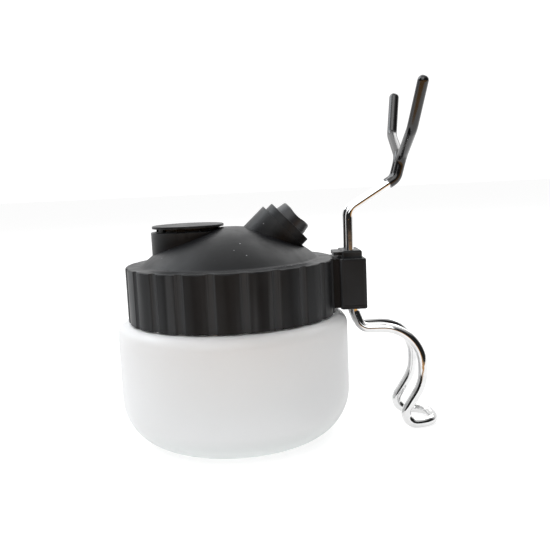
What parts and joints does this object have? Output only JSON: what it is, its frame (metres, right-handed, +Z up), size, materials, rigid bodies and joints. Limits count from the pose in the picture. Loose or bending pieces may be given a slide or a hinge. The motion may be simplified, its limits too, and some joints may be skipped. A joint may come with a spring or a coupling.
{
  "type": "airbrush cleaning pot with holder",
  "caption": "Squat glass pot under a screw lid with a filter tube, a slanted spray port, a wire fork that holds an airbrush and a wire stand.",
  "frame": {"origin": "centre of the jar's base, on the jar's axis", "axes": "+Z up along the jar's axis, +X from the jar's axis to the bracket that carries the holder, -Y towards the viewer"},
  "size_m": [0.1323, 0.095, 0.1408],
  "materials": {
    "glass": "frosted",
    "lid_plastic": "matte",
    "cap_plastic": "satin",
    "block_plastic": "satin",
    "drop_plastic": "satin",
    "chrome_wire": "polished",
    "sleeve_vinyl": "glossy",
    "seal_rubber": "satin",
    "ring_rubber": "satin",
    "gasket_rubber": "matte",
    "pad_fibre": "felted",
    "pad_carbon": "felted"
  },
  "bodies": {
    "jar": {"jar": "glass"},
    "gasket": {"lid_gasket": "gasket_rubber"},
    "lid": {"lid_shell": "lid_plastic", "drop_tube": "drop_plastic", "stand_wire": "chrome_wire"},
    "filter": {"filter_cap": "cap_plastic", "filter_cap_ring": "ring_rubber", "filter_retainer": "cap_plastic", "filter_pad_fine": "pad_fibre", "filter_pad_coarse": "pad_carbon"},
    "port_insert": {"port_collar": "cap_plastic", "port_collar_ring": "ring_rubber"},
    "nozzle_seal": {"nozzle_seal": "seal_rubber"},
    "fork": {"fork_wire": "chrome_wire", "fork_block": "block_plastic", "fork_sleeve_front": "sleeve_vinyl", "fork_sleeve_rear": "sleeve_vinyl"}
  },
  "joints": [
    {"name": "lid_lift", "type": "slide", "parent": "jar", "child": "gasket", "axis": [0, 0, 1], "range_m": [0, 0.006]},
    {"name": "lid_turn", "type": "hinge", "parent": "gasket", "child": "lid", "pos_m": [0, 0, 0.07], "axis": [0, 0, 1], "range_deg": [0, 360]},
    {"name": "filter_pull", "type": "slide", "parent": "lid", "child": "filter", "axis": [0, 0, 1], "range_m": [0, 0.022]},
    {"name": "insert_pull", "type": "slide", "parent": "lid", "child": "port_insert", "axis": [0.7314, 0, 0.682], "range_m": [0, 0.0125]},
    {"name": "seal_pull", "type": "slide", "parent": "port_insert", "child": "nozzle_seal", "axis": [0.7314, 0, 0.682], "range_m": [0, 0.0075]},
    {"name": "fork_pull", "type": "slide", "parent": "lid", "child": "fork", "axis": [0, 0, 1], "range_m": [0, 0.012]}
  ],
  "couplings": [
    {"joint": "lid_lift", "follows": "lid_turn", "m_per_rad": 0.00095493}
  ]
}
